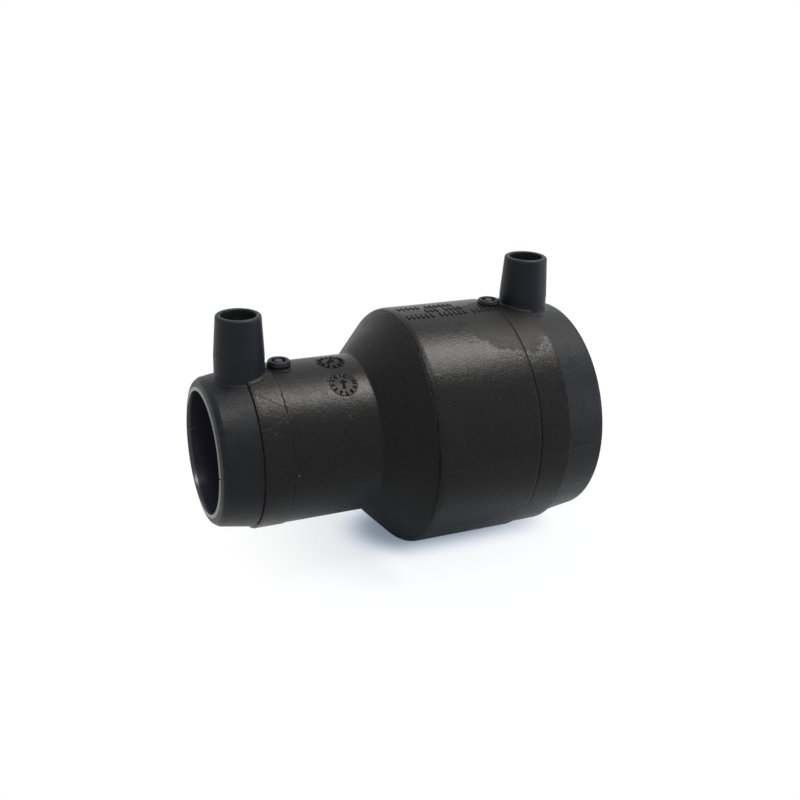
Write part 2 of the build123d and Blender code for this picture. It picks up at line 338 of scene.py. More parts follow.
class FinishSettings(bpy.types.PropertyGroup):
    """Colours of the finishes."""

    black: colour("Black", (0.0056, 0.0054, 0.0057), "Black polyethylene of the moulding")
    worn: colour("Rubbed black", (0.030, 0.028, 0.025), "Black polyethylene where the grain is rubbed pale")
    smooth: colour("Smooth black", (0.0062, 0.0070, 0.0095), "Polished parts of the moulding")
    # Shroud black is a lighter, bluer copy of the smooth black: painted light for the sheen that the smooth
    # shroud walls catch
    shroud: colour("Shroud black", (0.0115, 0.0136, 0.0184), "Smooth walls of the shrouds")
    # Bore black is lighter and bluer than the black the socket is moulded of: a painted sheen for the light
    # caught inside the glossy sockets
    bore: colour("Bore black", (0.0240, 0.0240, 0.0370), "Glossy wall of the sockets")
    # Digit black, darker than the barrel: partly the smooth moulded numbers, partly painted shade for the
    # shadow at the raised edges of the numbers and the dial rings. The fine scratch takes it too
    ink: colour("Digit black", (0.0045, 0.0045, 0.0050), "Raised numbers, which the grain leaves dark")
    cut: colour("Cut gate", (0.060, 0.057, 0.050), "Pale cut of the gate's stub")
    brass: colour("Brass", (0.60, 0.45, 0.21), "Turned brass of the contact pins")
    wire: colour("Wire", (0.66, 0.36, 0.20), "Drawn copper alloy of the heating wire")


class StageSettings(bpy.types.PropertyGroup):
    """The table, the white room, the lamps and the camera."""

    lens: FloatProperty(name="Lens", description="Focal length", default=48.87, unit="CAMERA")
    table: colour("Table", (0.66, 0.85, 1.0), "Colour of the table")
    table_radius: size("Table radius", 0.06, "Distance from its middle at which the table has faded out")
    table_gap: size("Table gap", 0.05 * MM, "Clearance under the part, so that the table never cuts it")
    table_glow: share("Table glow", 0.94, "How much of the open table's look is plain white")
    room_light: share("Room light", 0.45, "How strongly the white room lights the part")
    key_power: power("Key lamp", 17.0, "Power of the soft lamp overhead")
    key_tint: colour("Key tint", (1.0, 0.975, 0.93), "Colour of the soft lamp overhead")
    front_power: power("Front lamp", 2.2, "Power of the lamp over the mouth")
    front_tint: colour("Front tint", (1.0, 0.98, 0.95), "Colour of the lamp over the mouth")
    side_power: power("Side lamp", 1.6, "Power of the cool side lamp")
    side_tint: colour("Side tint", (0.70, 0.85, 1.0), "Colour of the cool side lamp")


def fillet(before, corner, after, radius, steps):
    """Points of the arc that rounds one corner of an outline."""
    corner = Vector(corner)
    to_before = Vector(before) - corner
    to_after = Vector(after) - corner
    half = to_before.angle(to_after) / 2
    reach = min(radius / tan(half), to_before.length * ROUND_SHARE, to_after.length * ROUND_SHARE)
    radius = reach * tan(half)
    start = corner + to_before.normalized() * reach
    end = corner + to_after.normalized() * reach
    middle = corner + (to_before.normalized() + to_after.normalized()).normalized() * (radius / sin(half))
    arm = start - middle
    spin = arm.angle_signed(end - middle)
    points = []
    for step in range(steps + 1):
        turn = -spin * step / steps
        across = arm.x * cos(turn) - arm.y * sin(turn)
        up = arm.x * sin(turn) + arm.y * cos(turn)
        points.append(middle + Vector((across, up)))
    return points


def rounded_outline(corners, row_step, closed):
    """Points along corners of (radius, height, round), with the rounds as arcs and long runs divided."""
    points = []
    count = len(corners)
    for index, (radius, height, *finish) in enumerate(corners):
        inside = closed or 0 < index < count - 1
        if finish and finish[0] > 0 and inside:
            before = corners[index - 1][:2]
            after = corners[(index + 1) % count][:2]
            steps = min(MOST_ARC_STEPS, BASE_ARC_STEPS + ceil(finish[0] / row_step * STEPS_PER_ROW))
            points.extend(fillet(before, (radius, height), after, finish[0], steps))
        else:
            points.append(Vector((radius, height)))
    divided = []
    for index, point in enumerate(points):
        divided.append(point)
        if index + 1 == len(points) and not closed:
            break
        following = points[(index + 1) % len(points)]
        parts = ceil((following - point).length / row_step)
        divided.extend(point.lerp(following, part / parts) for part in range(1, parts))
    return divided


def turns(columns):
    """Angles of the columns of a ring, once round."""
    return [2 * pi * column / columns for column in range(columns)]


def grid_mesh(name, rows, closed):
    """A mesh from rows of points round an axis. A row of one point is a pole."""
    points = [point for row in rows for point in row]
    starts = []
    total = 0
    for row in rows:
        starts.append(total)
        total += len(row)
    faces = []
    for index in range(len(rows) if closed else len(rows) - 1):
        following = (index + 1) % len(rows)
        low, high = rows[index], rows[following]
        count = max(len(low), len(high))
        for column in range(count):
            beside = (column + 1) % count
            if len(low) == 1:
                faces.append((starts[index], starts[following] + column, starts[following] + beside))
            elif len(high) == 1:
                faces.append((starts[index] + column, starts[following], starts[index] + beside))
            else:
                faces.append((
                    starts[index] + column,
                    starts[following] + column,
                    starts[following] + beside,
                    starts[index] + beside,
                ))
    return filled_mesh(name, points, faces)


def filled_mesh(name, points, faces):
    """A mesh with these points and faces."""
    mesh = bpy.data.meshes.new(name)
    mesh.from_pydata(points, [], faces)
    mesh.update()
    return mesh


def new_piece(name, mesh, materials=()):
    """An object for a mesh, with its materials, linked to the scene."""
    piece = bpy.data.objects.new(name, mesh)
    bpy.context.scene.collection.objects.link(piece)
    for material in materials:
        mesh.materials.append(material)
    return piece


def soften(mesh, angle=radians(32)):
    """Smooth shading with sharp edges kept where faces meet at more than this angle."""
    mesh.shade_smooth()
    mesh.set_sharp_from_angle(angle=angle)


def insert_line(barrel):
    """Height where the grain ends at a mould insert, half way round the shoulder."""
    return barrel.shoulder_height + barrel.shoulder_round * 0.06


def outside_corners(barrel):
    """Corners of the outside, from the large end face to the small one."""
    large_rim_round = 0.35 * MM
    # Shares: where a groove's slope starts, how far the mouth's edge leans in, and how far its lip falls
    slope_start = 0.7
    rim_lean = 0.12
    lip_fall = 0.12
    deep_ring = barrel.large_ring_radius - barrel.ring_groove_depth
    deep_tip = barrel.small_tip_root - barrel.witness_depth
    mouth = SMALL_BORE + barrel.entry_flare
    edge = barrel.edge_round
    return [
        (barrel.large_tip_end, 0.0, large_rim_round),
        (barrel.large_tip_root, barrel.large_tip_height - edge, 0.0),
        (barrel.large_ring_radius, barrel.large_tip_height, edge * 2),
        (barrel.large_ring_radius, barrel.large_ring_height - barrel.ring_groove, edge / 2),
        (deep_ring, barrel.large_ring_height - barrel.ring_groove * slope_start, 0.0),
        (deep_ring, barrel.large_ring_height, 0.0),
        (barrel.large_radius, barrel.large_ring_height, edge),
        (barrel.large_radius, barrel.shoulder_height, barrel.shoulder_round),
        (barrel.small_radius, barrel.neck_height, barrel.neck_round),
        (barrel.small_radius, barrel.small_ring_height, 0.0),
        (barrel.small_ring_radius, barrel.small_ring_height, edge / 2),
        (barrel.small_ring_radius, barrel.small_tip_height, edge),
        (deep_tip, barrel.small_tip_height, 0.0),
        (deep_tip, barrel.small_tip_height + barrel.witness_width * slope_start, 0.0),
        (barrel.small_tip_root, barrel.small_tip_height + barrel.witness_width, edge / 2),
        (barrel.small_tip_end + barrel.rim_drop * rim_lean, LENGTH - barrel.rim_drop, barrel.rim_round),
        (SMALL_BORE + barrel.rim_slope, LENGTH - barrel.rim_fall, barrel.rim_round),
        (mouth + barrel.lip_width, LENGTH - barrel.rim_fall * lip_fall, 0.0),
        (mouth + barrel.lip_rise, LENGTH + barrel.lip_rise, 0.0),
    ]


def inside_corners(barrel):
    """Corners of the bores and the throat, from the small mouth back to the large one."""
    # The small mouth narrows quickly down to a bend, and then slowly
    bend_radius = SMALL_BORE + barrel.entry_flare * 0.45
    bend_height = LENGTH - barrel.entry_depth * 0.25
    bend_round = 4.0 * MM
    entry_round = 16.0 * MM
    edge = barrel.edge_round
    return [
        (SMALL_BORE + barrel.entry_flare, LENGTH + barrel.lip_rise, barrel.lip_rise),
        (bend_radius, bend_height, bend_round),
        (SMALL_BORE, LENGTH - barrel.entry_depth, entry_round),
        (SMALL_BORE, SMALL_STOP, edge),
        (barrel.small_throat, SMALL_STOP, barrel.lip_round),
        (barrel.small_throat, SMALL_STOP - barrel.throat_land, 0.0),
        (barrel.large_throat, LARGE_STOP, barrel.lip_round),
        (LARGE_BORE, LARGE_STOP, edge),
        (LARGE_BORE, 0.0, barrel.lip_round),
    ]


def barrel_surface(barrel):
    """A function that gives the distance of the outside from the axis at any height."""
    points = rounded_outline(outside_corners(barrel), barrel.row_step, closed=False)

    def radius_at(height):
        for low, high in zip(points, points[1:]):
            if low.y <= height <= high.y and high.y > low.y:
                return low.x + (high.x - low.x) * (height - low.y) / (high.y - low.y)
        return points[-1].x if height > points[-1].y else points[0].x

    return radius_at


def column_angles(count, seam_width, radius):
    """Angles of the mesh's columns, with extra ones close together at the parting plane."""
    fine = [seam_width * part / radius for part in SEAM_COLUMNS]
    coarse = 2 * pi / count
    clear_of_seam = fine[-1] + coarse * 0.3
    angles = [seam + offset for seam in SEAM_ANGLES for offset in fine]
    for column in range(count):
        angle = -pi + column * coarse
        if all(abs(angle - seam) > clear_of_seam for seam in SEAM_ANGLES):
            angles.append(angle)
    return sorted(angles)


def on_barrel(angle, radius, height):
    """A point at this angle from +X towards -Y."""
    return Vector((radius * cos(angle), -radius * sin(angle), height))


def relief(barrel, angle, radius, height):
    """How far the outside stands out from its turned outline: flash line, mould mismatch and soft waves."""
    amount = WAVE_HEIGHT * noise.noise(on_barrel(angle, radius, height) * WAVES_PER_METRE)
    for seam in SEAM_ANGLES:
        away = (angle - seam) * radius
        if abs(away) > barrel.seam_fade:
            continue
        amount += barrel.seam_height * max(0.0, 1.0 - abs(away) / barrel.seam_width)
        lower_half = (away > 0) == (seam > 0)
        if lower_half:
            fade = 1.0 - (away / barrel.seam_fade) ** 2
            amount -= barrel.seam_mismatch * fade * min(1.0, abs(away) / barrel.seam_width)
    return amount


def nick(barrel, angle, radius, height):
    """Depth of the nick that crosses the mouth's face where the flash was cut."""
    near_bore = 1.0 - abs(radius - SMALL_BORE - barrel.entry_flare) / barrel.notch_reach
    near_mouth = max(0.0, min(near_bore, 1.0 - (LENGTH - height) / barrel.rim_drop))
    depth = 0.0
    for seam in SEAM_ANGLES:
        away = abs(angle - seam) * radius
        depth = max(depth, barrel.notch_depth * near_mouth * max(0.0, 1.0 - away / barrel.notch_width))
    return depth


def shell_mesh(barrel):
    """The two barrels, the cone and the bores as one turned mesh."""
    corners = outside_corners(barrel) + inside_corners(barrel)
    outline = rounded_outline(corners, barrel.row_step, closed=True)
    angles = column_angles(barrel.columns, barrel.seam_width, barrel.small_radius)
    radius_at = barrel_surface(barrel)
    lowest, highest = 0.4 * MM, LENGTH - 0.1 * MM
    rows = []
    for index, point in enumerate(outline):
        along = outline[(index + 1) % len(outline)] - outline[index - 1]
        normal = Vector((along.y, -along.x)).normalized()
        outside = abs(point.x - radius_at(point.y)) < ON_OUTSIDE and lowest < point.y < highest
        row = []
        for angle in angles:
            amount = relief(barrel, angle, point.x, point.y) if outside else 0.0
            amount -= nick(barrel, angle, point.x, point.y)
            row.append(on_barrel(angle, point.x + normal.x * amount, point.y + normal.y * amount))
        rows.append(row)
    return grid_mesh("fitting_shell", rows, closed=True)


def post_ring(point, place, columns):
    """A ring of points round an axis along +X, from one point of an outline. On the axis it is a pole."""
    radius, out = point
    if radius < ON_AXIS:
        return [Vector((out, 0.0, place))]
    return [Vector((out, radius * sin(turn), place + radius * cos(turn))) for turn in turns(columns)]


def standing_post(name, place, profile, root, skirt, radius_at, columns=96):
    """A turned post that stands on the barrel along +X, with a hollow where it meets the surface.

    profile runs from the wall above the skirt, over the rim and down to the middle of the top, as
    points of (radius, distance from the pipe axis).
    """
    foot = profile[0].x
    outer = foot + skirt

    def surface(across, up):
        radius = radius_at(place + up)
        return sqrt(max(radius * radius - across * across, 0.0))

    lowest = min(surface(outer * sin(turn), outer * cos(turn)) for turn in turns(columns))
    rows = [[Vector((lowest - root, 0.0, place))]]
    for part in range(SKIRT_STEPS + 1):
        bend = part / SKIRT_STEPS * pi / 2
        reach = foot + skirt * (1 - sin(bend))
        rise = skirt * (1 - cos(bend))
        row = []
        for turn in turns(columns):
            across, up = reach * sin(turn), reach * cos(turn)
            row.append(Vector((surface(across, up) + rise - SKIRT_SINK, across, place + up)))
        if part == 0:
            rows.append([Vector((lowest - root, point.y, point.z)) for point in row])
        rows.append(row)
    rows.extend(post_ring(point, place, columns) for point in profile[1:])
    return new_piece(name, grid_mesh(name, rows, closed=False))


def shroud_profile(shroud, top, surface_top):
    """Outline of one shroud, from its wall over the rim to the middle of the well's floor."""
    wall_start = surface_top + shroud.skirt * 1.3
    taper_round = 3.0 * MM
    mouth = shroud.top_radius - shroud.wall
    well_draft = 0.12 * MM
    floor = top - shroud.well
    floor_round = 0.35 * MM
    corners = [
        (shroud.foot_radius, wall_start),
        (shroud.foot_radius, top - shroud.taper, taper_round),
        (shroud.top_radius, top, shroud.rim_round),
        (mouth, top, shroud.lip_round),
        (mouth - well_draft, floor, floor_round),
        (0.0, floor),
    ]
    outline = rounded_outline(corners, row_step=1.0 * MM, closed=False)
    return [Vector((shroud.foot_radius, surface_top)), *outline]


def boss_profile(indicator, top, surface):
    """Outline of one indicator boss, like a low button."""
    wall_start = surface + indicator.skirt * 1.05
    waist_height = surface + (top - surface) * 0.42
    waist_round = 0.3 * MM
    corners = [
        (indicator.foot_radius, wall_start),
        (indicator.waist_radius, waist_height, waist_round),
        (indicator.top_radius, top, indicator.rim_round),
        (0.0, top),
    ]
    outline = rounded_outline(corners, row_step=0.4 * MM, closed=False)
    return [Vector((indicator.foot_radius, surface)), *outline]


def bored_hole(name, place, outline, columns=64):
    """A turned cutter along +X from points of (radius, distance from the pipe axis)."""
    rows = [post_ring(point, place, columns) for point in outline]
    return new_piece(name, grid_mesh(name, rows, closed=False))


def indicator_cutter(name, indicator, place, top, pin_low):
    """The recess in a boss with the pin's guide hole below it."""
    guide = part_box(name + "_pin")[1].y + indicator.play
    guide_end = pin_low - indicator.play
    recess = indicator.recess_radius
    recess_floor = top - indicator.recess_depth
    floor_round = 0.15 * MM
    bevel = 0.25 * MM
    above = top + 0.5 * MM
    corners = [
        (0.0, guide_end),
        (guide, guide_end),
        (guide, recess_floor),
        (recess, recess_floor, floor_round),
        (recess, top - bevel, 0.0),
        (recess + bevel, top, 0.0),
        (recess + 0.35 * MM, above, 0.0),
        (0.0, above),
    ]
    return bored_hole(name + "_cutter", place, rounded_outline(corners, row_step=2.0 * MM, closed=False))


def face_outwards(mesh):
    """Turn the faces so that the closed mesh has its normals outside."""
    volume = 0.0
    for polygon in mesh.polygons:
        points = [mesh.vertices[index].co for index in polygon.vertices]
        for second, third in zip(points[1:], points[2:]):
            volume += points[0].dot(second.cross(third))
    if volume < 0:
        mesh.flip_normals()


def combine(base, others, operation):
    """Join closed pieces to the base, or cut them from it, and remove them."""
    for other in others:
        face_outwards(other.data)
        modifier = base.modifiers.new(other.name, "BOOLEAN")
        modifier.operation = operation
        modifier.solver = "EXACT"
        modifier.object = other
    bpy.context.view_layer.update()
    evaluated = base.evaluated_get(bpy.context.evaluated_depsgraph_get())
    mesh = bpy.data.meshes.new_from_object(evaluated)
    base.modifiers.clear()
    old = base.data
    base.data = mesh
    mesh.name = base.name
    bpy.data.meshes.remove(old)
    for other in others:
        bpy.data.objects.remove(other)


def on_post(centre, radius, posts, radius_at):
    """Whether a face belongs to a shroud or a boss, or to the well or recess in it."""
    well_share = 0.8
    well_below = 2.5 * MM
    for place, reach in posts:
        away = hypot(centre.y, centre.z - place)
        if away > reach or centre.x < 0:
            continue
        surface = radius_at(centre.z)
        in_well = away < reach * well_share and radius > surface - well_below
        if radius > surface + 0.05 * MM or in_well:
            return True
    return False


def zone_of(centre, normal, barrel, posts, radius_at):
    """Which finish a face of the moulding has, from where it lies. Posts give (height, reach)."""
    radius = hypot(centre.x, centre.y)
    if on_post(centre, radius, posts, radius_at):
        return SHROUD
    slack = 0.1 * MM
    inward = normal.x * centre.x + normal.y * centre.y < 0
    in_large_socket = centre.z < LARGE_STOP + slack
    bore = LARGE_BORE if in_large_socket else SMALL_BORE
    on_wall = inward and radius < bore + barrel.entry_flare
    on_large_stop = in_large_socket and radius < bore + 0.3 * MM
    in_throat = inward and not in_large_socket and radius < barrel.large_throat + slack
    if on_wall or on_large_stop or in_throat:
        return BORE
    if centre.z > LENGTH - barrel.rim_fall and radius < bore + barrel.entry_flare + barrel.lip_width:
        return FACE
    if centre.z > barrel.small_tip_height + 0.05 * MM or centre.z < barrel.large_tip_height - 0.02 * MM:
        return TIP
    if insert_line(barrel) < centre.z < barrel.neck_height:
        return CONE
    return BARREL


def node_group(name, inputs, outputs):
    """An empty shader node group, with inputs by name and default, and named masks or heights to put out.

    Gives the group, the sockets that hold its inputs and the sockets that take its outputs.
    """
    group = bpy.data.node_groups.new(name, "ShaderNodeTree")
    for label, default in inputs.items():
        kind = "NodeSocketVector" if isinstance(default, tuple) else "NodeSocketFloat"
        socket = group.interface.new_socket(name=label, in_out="INPUT", socket_type=kind)
        socket.default_value = default
    for label in outputs:
        group.interface.new_socket(name=label, in_out="OUTPUT", socket_type="NodeSocketFloat")
    return group, group.nodes.new("NodeGroupInput").outputs, group.nodes.new("NodeGroupOutput").inputs


def add_node(tree, kind, values=None, **settings):
    """A node with its settings and the default values of some inputs."""
    node = tree.nodes.new(kind)
    for key, value in settings.items():
        setattr(node, key, value)
    for key, value in (values or {}).items():
        node.inputs[key].default_value = value
    return node


def feed(tree, socket, value):
    """Link an input to another node's socket, or set it to a plain value."""
    if isinstance(value, bpy.types.NodeSocket):
        tree.links.new(value, socket)
    else:
        socket.default_value = value


def calculate(tree, operation, first, second=None, clamp=False):
    """A Math node fed by sockets or numbers. Gives its output socket."""
    node = add_node(tree, "ShaderNodeMath", operation=operation, use_clamp=clamp)
    feed(tree, node.inputs[0], first)
    if second is not None:
        feed(tree, node.inputs[1], second)
    return node.outputs[0]


def plus(tree, first, second):
    """The sum of two values."""
    return calculate(tree, "ADD", first, second)


def minus(tree, first, second, clamp=False):
    """The first value less the second."""
    return calculate(tree, "SUBTRACT", first, second, clamp)


def times(tree, *values):
    """The product of all the values."""
    return reduce(lambda first, second: calculate(tree, "MULTIPLY", first, second), values)


def largest(tree, *values):
    """The largest of all the values."""
    return reduce(lambda first, second: calculate(tree, "MAXIMUM", first, second), values)


def vector_step(tree, operation, vector, by=None):
    """A Vector Math node on one vector, or on two. Gives the socket with its result."""
    node = add_node(tree, "ShaderNodeVectorMath", operation=operation)
    feed(tree, node.inputs[0], vector)
    if by is not None:
        feed(tree, node.inputs[1], by)
    return node.outputs["Value" if operation in ("DISTANCE", "LENGTH") else "Vector"]


def object_place(tree):
    """The place on the piece itself, which its textures are laid by."""
    return add_node(tree, "ShaderNodeTexCoord").outputs["Object"]


def axis_parts(tree, vector):
    """The three parts of a vector, by the names X, Y and Z."""
    parts = add_node(tree, "ShaderNodeSeparateXYZ")
    tree.links.new(vector, parts.inputs[0])
    return parts.outputs


def remap(tree, value, low, high, to_low=0.0, to_high=1.0):
    """A smooth step from one range to another."""
    node = add_node(tree, "ShaderNodeMapRange", {1: low, 2: high, 3: to_low, 4: to_high})
    node.interpolation_type = "SMOOTHSTEP"
    tree.links.new(value, node.inputs[0])
    return node.outputs[0]


def noise_at(tree, scale, detail=2.0, roughness=0.5, vector=None, distortion=0.0):
    """A noise texture read at the piece's own place, or at another vector."""
    if vector is None:
        vector = object_place(tree)
    values = {"Detail": detail, "Roughness": roughness, "Distortion": distortion}
    node = add_node(tree, "ShaderNodeTexNoise", values)
    tree.links.new(vector, node.inputs["Vector"])
    feed(tree, node.inputs["Scale"], scale)
    return node.outputs[0]


def spark_grain_group():
    """Fine eroded grain of a spark-textured mould: a height and the rubbed tips of the grain."""
    group, given, result = node_group("spark_grain", {"Scale": 2600.0, "Rub": 0.5}, ("Height", "Tips"))
    scale = given["Scale"]
    fine = noise_at(group, scale, detail=3.0, roughness=0.65)
    coarse = noise_at(group, times(group, scale, 0.33), detail=2.0, roughness=0.5)
    height = plus(group, times(group, fine, 0.7), times(group, coarse, 0.5))
    tips = remap(group, fine, 0.54, 0.72)
    patches = remap(group, noise_at(group, 190.0, detail=3.0, roughness=0.6), 0.35, 0.7, 0.35, 1.0)
    group.links.new(height, result["Height"])
    group.links.new(times(group, tips, patches, given["Rub"]), result["Tips"])
    return group


def flow_marks_group():
    """Wavy streaks that the melt left on the moulding where it filled last."""
    group, given, result = node_group("flow_marks", {"Amount": 1.0}, ("Streaks", "Blotches"))
    drawn_out = vector_step(group, "MULTIPLY", object_place(group), (1.0, 1.0, 0.45))
    wave = noise_at(group, 210.0, detail=4.0, roughness=0.55, vector=drawn_out, distortion=1.6)
    line = calculate(group, "ABSOLUTE", minus(group, wave, 0.5))
    streaks = remap(group, line, 0.0, 0.018, 1.0, 0.0)
    where = remap(group, noise_at(group, 60.0, detail=2.0, roughness=0.5), 0.5, 0.62)
    broad = remap(group, noise_at(group, 95.0, detail=4.0, roughness=0.62, distortion=0.6), 0.42, 0.68)
    fine = noise_at(group, 420.0, detail=4.0, roughness=0.7, vector=drawn_out, distortion=0.8)
    small = remap(group, fine, 0.45, 0.65)
    blotches = times(group, plus(group, broad, small), 0.6)
    group.links.new(times(group, streaks, where, given["Amount"]), result["Streaks"])
    group.links.new(times(group, blotches, given["Amount"]), result["Blotches"])
    return group


def flow_front_group():
    """A patch where the melt met the mould late: its inside took no grain and its edge is a wavy line."""
    inputs = {"Place": (0.0, 0.0, 0.0), "Reach": 10 * MM, "Waves": 4 * MM}
    group, given, result = node_group("flow_front", inputs, ("Patch", "Edge"))
    away = vector_step(group, "DISTANCE", object_place(group), given["Place"])
    wave = minus(group, noise_at(group, 190.0, detail=4.0, roughness=0.55, distortion=0.4), 0.5)
    wave = times(group, wave, times(group, given["Waves"], 4.0))
    rim = minus(group, plus(group, away, wave), given["Reach"])
    edge = remap(group, calculate(group, "ABSOLUTE", rim), 0.02 * MM, 0.22 * MM, 1.0, 0.0)
    group.links.new(remap(group, rim, -0.5 * MM, 0.12 * MM, 1.0, 0.0), result["Patch"])
    group.links.new(edge, result["Edge"])
    return group


def split_line_group():
    """A rough dark line where two parts of the mould meet, round the pipe axis and fainter low down."""
    group, given, result = node_group("split_line", {"Height": 50 * MM, "Width": 0.18 * MM}, ("Line",))
    parts = axis_parts(group, object_place(group))
    wander = times(group, minus(group, noise_at(group, 700.0, detail=3.0, roughness=0.6), 0.5), 1.2 * MM)
    away = minus(group, plus(group, parts["Z"], wander), given["Height"])
    widths_away = calculate(group, "DIVIDE", calculate(group, "ABSOLUTE", away), given["Width"])
    broken = remap(group, noise_at(group, 260.0, detail=3.0, roughness=0.6), 0.38, 0.6, 0.35, 1.0)
    upper = remap(group, parts["X"], -22 * MM, -4 * MM, 0.25, 1.0)
    line = remap(group, widths_away, 0.6, 1.5, 1.0, 0.0)
    group.links.new(times(group, line, times(group, broken, upper)), result["Line"])
    return group


def handling_group():
    """Small bright scuffs and dust left by handling."""
    group, given, result = node_group("handling", {"Amount": 1.0}, ("Scuffs",))
    cells = add_node(group, "ShaderNodeTexVoronoi", {"Scale": 420.0, "Randomness": 1.0})
    group.links.new(object_place(group), cells.inputs["Vector"])
    specks = remap(group, cells.outputs["Distance"], 0.03, 0.09, 1.0, 0.0)
    where = remap(group, noise_at(group, 130.0, detail=2.0, roughness=0.5), 0.6, 0.68)
    group.links.new(times(group, specks, where, given["Amount"]), result["Scuffs"])
    return group


def place_group(tree, group, **values):
    """A node that uses a shared group with its own values. Gives its outputs."""
    node = add_node(tree, "ShaderNodeGroup")
    node.node_tree = group
    for key, value in values.items():
        node.inputs[key].default_value = value
    return node.outputs


def blend_colours(tree, low, high, by):
    """Mixes two colours by a mask. Gives the colour socket."""
    node = add_node(tree, "ShaderNodeMix", data_type="RGBA")
    feed(tree, node.inputs["A"], low)
    feed(tree, node.inputs["B"], high)
    tree.links.new(by, node.inputs["Factor"])
    return node.outputs["Result"]


def opaque(colour_value, brightness=1.0):
    """A colour, or a darker one like it, as the four numbers that a socket takes."""
    return (*(part * brightness for part in colour_value), 1.0)


def new_material(name, **sockets):
    """A material with one Principled shader, and plain values set on the shader itself."""
    material = bpy.data.materials.new(name)
    material.use_nodes = True
    tree = material.node_tree
    shader = tree.nodes["Principled BSDF"]
    for label, value in sockets.items():
        shader.inputs[label.replace("_", " ").title().replace("Ior", "IOR")].default_value = value
    return material, tree, shader


def bump_from(tree, shader, height, strength, distance):
    """Feeds a height to the shader's normal."""
    bump = add_node(tree, "ShaderNodeBump", {"Strength": strength, "Distance": distance})
    tree.links.new(height, bump.inputs["Height"])
    tree.links.new(bump.outputs["Normal"], shader.inputs["Normal"])


def moulded_material(groups, look, base, pale, fronts=(), lines=()):
    """Black polyethylene: grain, flow marks and scuffs, in amounts that suit the zone.

    Fronts are flow fronts as (place, reach, waves, strength), and lines are split lines as (height,
    strength).
    """
    material, tree, shader = new_material(look.name, specular_ior_level=look.level)
    sparks = place_group(tree, groups["grain"], Scale=look.grain, Rub=look.rub)
    flow = place_group(tree, groups["flow"], Amount=look.marks)
    scuffs = place_group(tree, groups["handling"], Amount=look.scuffs)
    tips = sparks["Tips"]
    shade = flow["Streaks"]
    height = minus(tree, sparks["Height"], times(tree, shade, STREAK_DEPTH))
    roughness = plus(tree, times(tree, sparks["Height"], GRAIN_ROUGHNESS), look.rough)
    for place, reach, waves, strength in fronts:
        front = place_group(tree, groups["front"], Place=place, Reach=reach, Waves=waves)
        patch = times(tree, front["Patch"], strength)
        bare = minus(tree, 1.0, patch)
        tips = times(tree, tips, bare)
        height = times(tree, height, plus(tree, times(tree, bare, 1.0 - FRONT_GRAIN), FRONT_GRAIN))
        shade = largest(tree, shade, times(tree, front["Edge"], strength))
        roughness = plus(tree, roughness, times(tree, patch, FRONT_ROUGHNESS))
    for line, strength in lines:
        split = place_group(tree, groups["split"], Height=line)
        dark = times(tree, split["Line"], strength)
        shade = largest(tree, shade, dark)
        height = minus(tree, height, dark)
        roughness = plus(tree, roughness, times(tree, dark, SPLIT_ROUGHNESS))
    blotches = flow["Blotches"]
    rubbed = blend_colours(tree, opaque(base), opaque(pale), tips)
    mottled = blend_colours(tree, rubbed, opaque(base, BLOTCH_BRIGHTNESS), times(tree, blotches, BLOTCH_MIX))
    streaked = blend_colours(tree, mottled, opaque(base, LINE_BRIGHTNESS), times(tree, shade, LINE_MIX))
    dusty = blend_colours(tree, streaked, DUST, scuffs["Scuffs"])
    roughness = minus(tree, roughness, times(tree, blotches, BLOTCH_SHEEN), clamp=True)
    tree.links.new(dusty, shader.inputs["Base Color"])
    tree.links.new(roughness, shader.inputs["Roughness"])
    bump_from(tree, shader, height, 1.0, look.depth * GRAIN_DEPTH)
    return material


def metal_material(name, base, rough, ring_scale):
    """Turned metal with fine rings and slightly uneven tarnish."""
    tarnish_brightness = 0.6
    ring_roughness = 0.2
    ring_depth = 0.02 * MM
    material, tree, shader = new_material(name, metallic=1.0)
    drawn_out = vector_step(tree, "MULTIPLY", object_place(tree), (1.0, 0.06, 0.06))
    rings = noise_at(tree, ring_scale, detail=2.0, roughness=0.6, vector=drawn_out)
    tarnish = remap(tree, noise_at(tree, 700.0, detail=3.0, roughness=0.6), 0.35, 0.7)
    uneven = blend_colours(tree, opaque(base), opaque(base, tarnish_brightness), tarnish)
    tree.links.new(uneven, shader.inputs["Base Color"])
    tree.links.new(plus(tree, times(tree, rings, ring_roughness), rough), shader.inputs["Roughness"])
    bump_from(tree, shader, rings, 0.3, ring_depth)
    return material


def build_finishes(finish):
    """Every material of the part, made once and kept by name."""
    if FINISHES:
        return FINISHES
    groups = {
        "grain": spark_grain_group(),
        "flow": flow_marks_group(),
        "front": flow_front_group(),
        "split": split_line_group(),
        "handling": handling_group(),
    }
    barrel = bpy.context.scene.reducer_barrel
    insert = (insert_line(barrel), 1.0)
    ring_edge = (barrel.small_ring_height, 0.8)
    lines = {"barrel": (insert, ring_edge), "cone": (insert,)}
    fronts = {"barrel": [(on_barrel(*where), *amounts) for where, amounts in FLOW_FRONTS]}
    for zone, look in MOULDED.items():
        base = getattr(finish, look.colour)
        marks = (fronts.get(zone, ()), lines.get(zone, ()))
        FINISHES[zone] = moulded_material(groups, look, base, finish.worn, *marks)
    FINISHES["brass"] = metal_material("turned_brass", finish.brass, 0.16, 9000.0)
    FINISHES["wire"] = metal_material("drawn_wire", finish.wire, 0.28, 5000.0)
    return FINISHES


def text_mesh(text, height):
    """Plain characters as a mesh centred on its own origin, flat in X and Y."""
    curve = bpy.data.curves.new("digits", "FONT")
    curve.body = text
    curve.size = height * FONT_SHARE
    curve.align_x = "CENTER"
    curve.align_y = "CENTER"
    curve.offset = height * STROKE_SHARE
    curve.resolution_u = 3
    holder = bpy.data.objects.new("digits", curve)
    bpy.context.scene.collection.objects.link(holder)
    bpy.context.view_layer.update()
    mesh = bpy.data.meshes.new_from_object(holder.evaluated_get(bpy.context.evaluated_depsgraph_get()))
    bpy.data.objects.remove(holder)
    bpy.data.curves.remove(curve)
    return mesh


